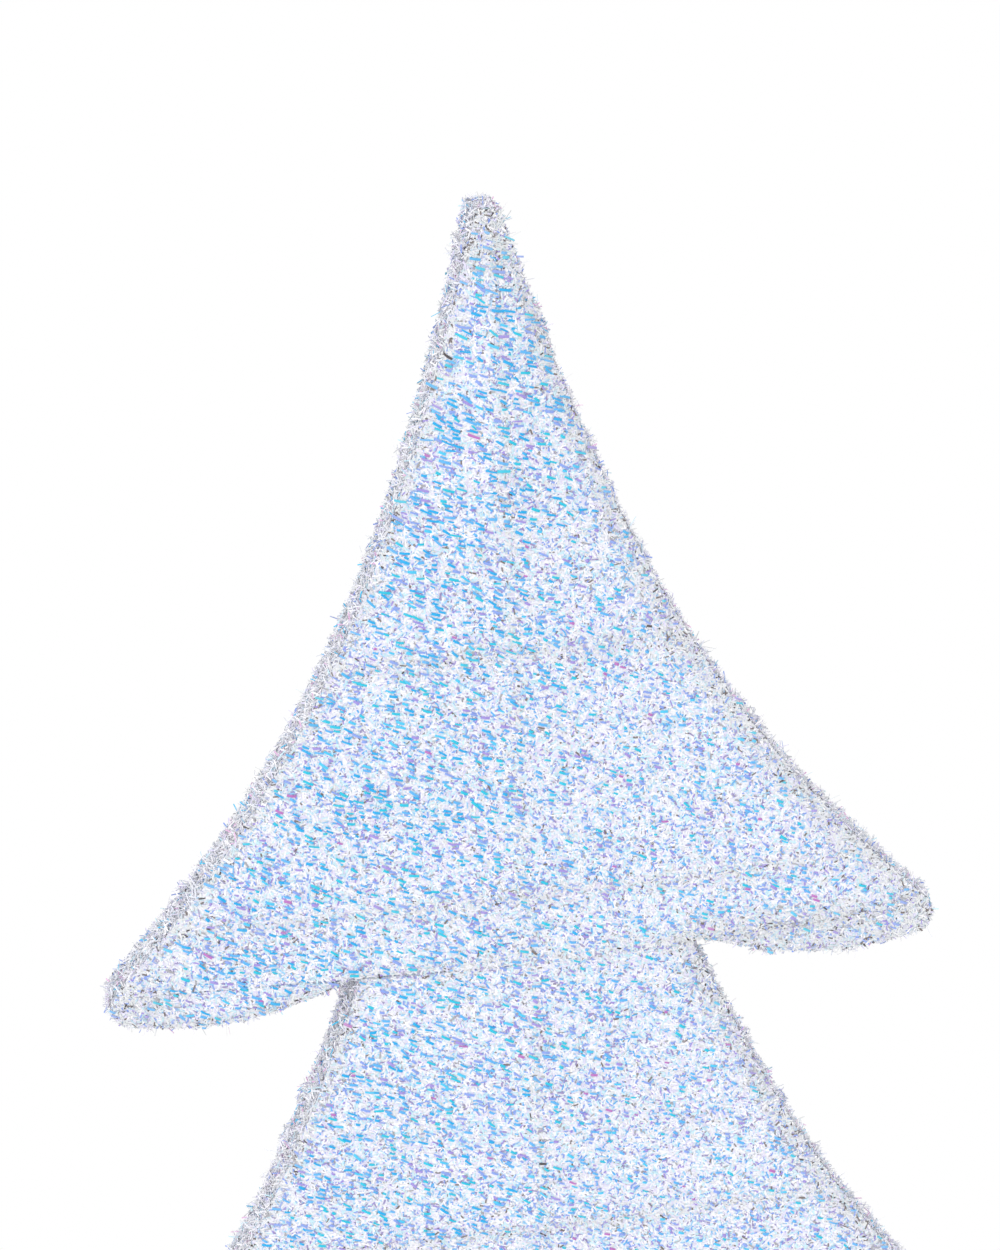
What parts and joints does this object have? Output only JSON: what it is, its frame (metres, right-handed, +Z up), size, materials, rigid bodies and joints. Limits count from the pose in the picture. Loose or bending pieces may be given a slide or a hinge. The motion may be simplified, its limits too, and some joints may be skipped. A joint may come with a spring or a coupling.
{
  "type": "led christmas tree",
  "caption": "Flat free-standing light-up tree: tinsel cloth over a wire frame, with a battery case behind the trunk and a folding cross stand.",
  "frame": {"origin": "on the floor, under the pole's axis, at the middle of the bounding box's bottom face", "axes": "+Z up along the pole, front face of the tree towards -Y, boughs along X"},
  "size_m": [0.57, 0.32, 0.9321],
  "materials": {
    "tinsel_cloth": "iridescent tinsel on white knit",
    "coated_wire": "white powder coat",
    "coated_bar": "satin powder coat",
    "white_plastic": "satin moulded",
    "grey_rubber": "matt",
    "lamp_string": "clear insulation with resin drops",
    "cell_jacket": "plain satin jacket",
    "nickel": "plated spring steel",
    "circuit_board": "solder mask",
    "black_plastic": "moulded"
  },
  "bodies": {
    "stand": {"lower_bar": "coated_bar", "socket_tube": "coated_bar", "retaining_collar": "white_plastic", "foot_left": "grey_rubber", "foot_right": "grey_rubber"},
    "upper_bar_body": {"upper_bar": "coated_bar", "foot_front": "grey_rubber", "foot_back": "grey_rubber"},
    "screw": {"thumb_screw": "white_plastic"},
    "pole_body": {"pole": "coated_bar", "pole_stop_ring": "white_plastic"},
    "tree": {"front_cloth_top": "tinsel_cloth", "front_cloth_middle": "tinsel_cloth", "front_cloth_bottom": "tinsel_cloth", "back_cloth_top": "tinsel_cloth", "back_cloth_middle": "tinsel_cloth", "back_cloth_bottom": "tinsel_cloth", "side_tape_top": "tinsel_cloth", "side_tape_middle_left": "tinsel_cloth", "side_tape_middle_right": "tinsel_cloth", "side_tape_bottom_left": "tinsel_cloth", "side_tape_bottom_right": "tinsel_cloth", "front_outline_wire": "coated_wire", "back_outline_wire": "coated_wire", "front_upright_wire": "coated_wire", "back_upright_wire": "coated_wire", "front_low_brace_top": "coated_wire", "front_low_brace_middle": "coated_wire", "front_low_brace_bottom": "coated_wire", "back_low_brace_top": "coated_wire", "back_low_brace_middle": "coated_wire", "back_low_brace_bottom": "coated_wire", "front_middle_brace_top": "coated_wire", "front_middle_brace_middle": "coated_wire", "front_middle_brace_bottom": "coated_wire", "front_notch_brace_top": "coated_wire", "front_notch_brace_middle": "coated_wire", "spacer_apex": "coated_wire", "spacer_top_left": "coated_wire", "spacer_top_right": "coated_wire", "spacer_middle_left": "coated_wire", "spacer_middle_right": "coated_wire", "spacer_bottom_left": "coated_wire", "spacer_bottom_right": "coated_wire", "trunk_sleeve": "coated_bar", "lamp_string": "lamp_string", "battery_case": "white_plastic", "circuit_board": "circuit_board", "cell_1": "cell_jacket", "cell_2": "cell_jacket", "cell_3": "cell_jacket", "contact_plate_left": "nickel", "contact_plate_right": "nickel"},
    "lid": {"battery_lid": "white_plastic"},
    "slider": {"switch_slider": "black_plastic"}
  },
  "joints": [
    {"name": "stand_fold", "type": "hinge", "parent": "stand", "child": "upper_bar_body", "pos_m": [0, 0, 0.0248], "axis": [0, 0, 1], "range_deg": [0, 75]},
    {"name": "screw_turn", "type": "hinge", "parent": "stand", "child": "screw", "pos_m": [0.0135, 0, 0.0563], "axis": [1, 0, 0], "range_deg": [0, 540]},
    {"name": "pole_turn", "type": "hinge", "parent": "stand", "child": "pole_body", "pos_m": [0, 0, 0.08], "axis": [0, 0, 1], "continuous": true},
    {"name": "tree_lift", "type": "slide", "parent": "pole_body", "child": "tree", "axis": [0, 0, 1], "range_m": [0, 0.085]},
    {"name": "lid_slide", "type": "slide", "parent": "tree", "child": "lid", "axis": [1, 0, 0], "range_m": [0, 0.064]},
    {"name": "switch_slide", "type": "slide", "parent": "tree", "child": "slider", "axis": [1, 0, 0], "range_m": [-0.0025, 0.0025]}
  ]
}
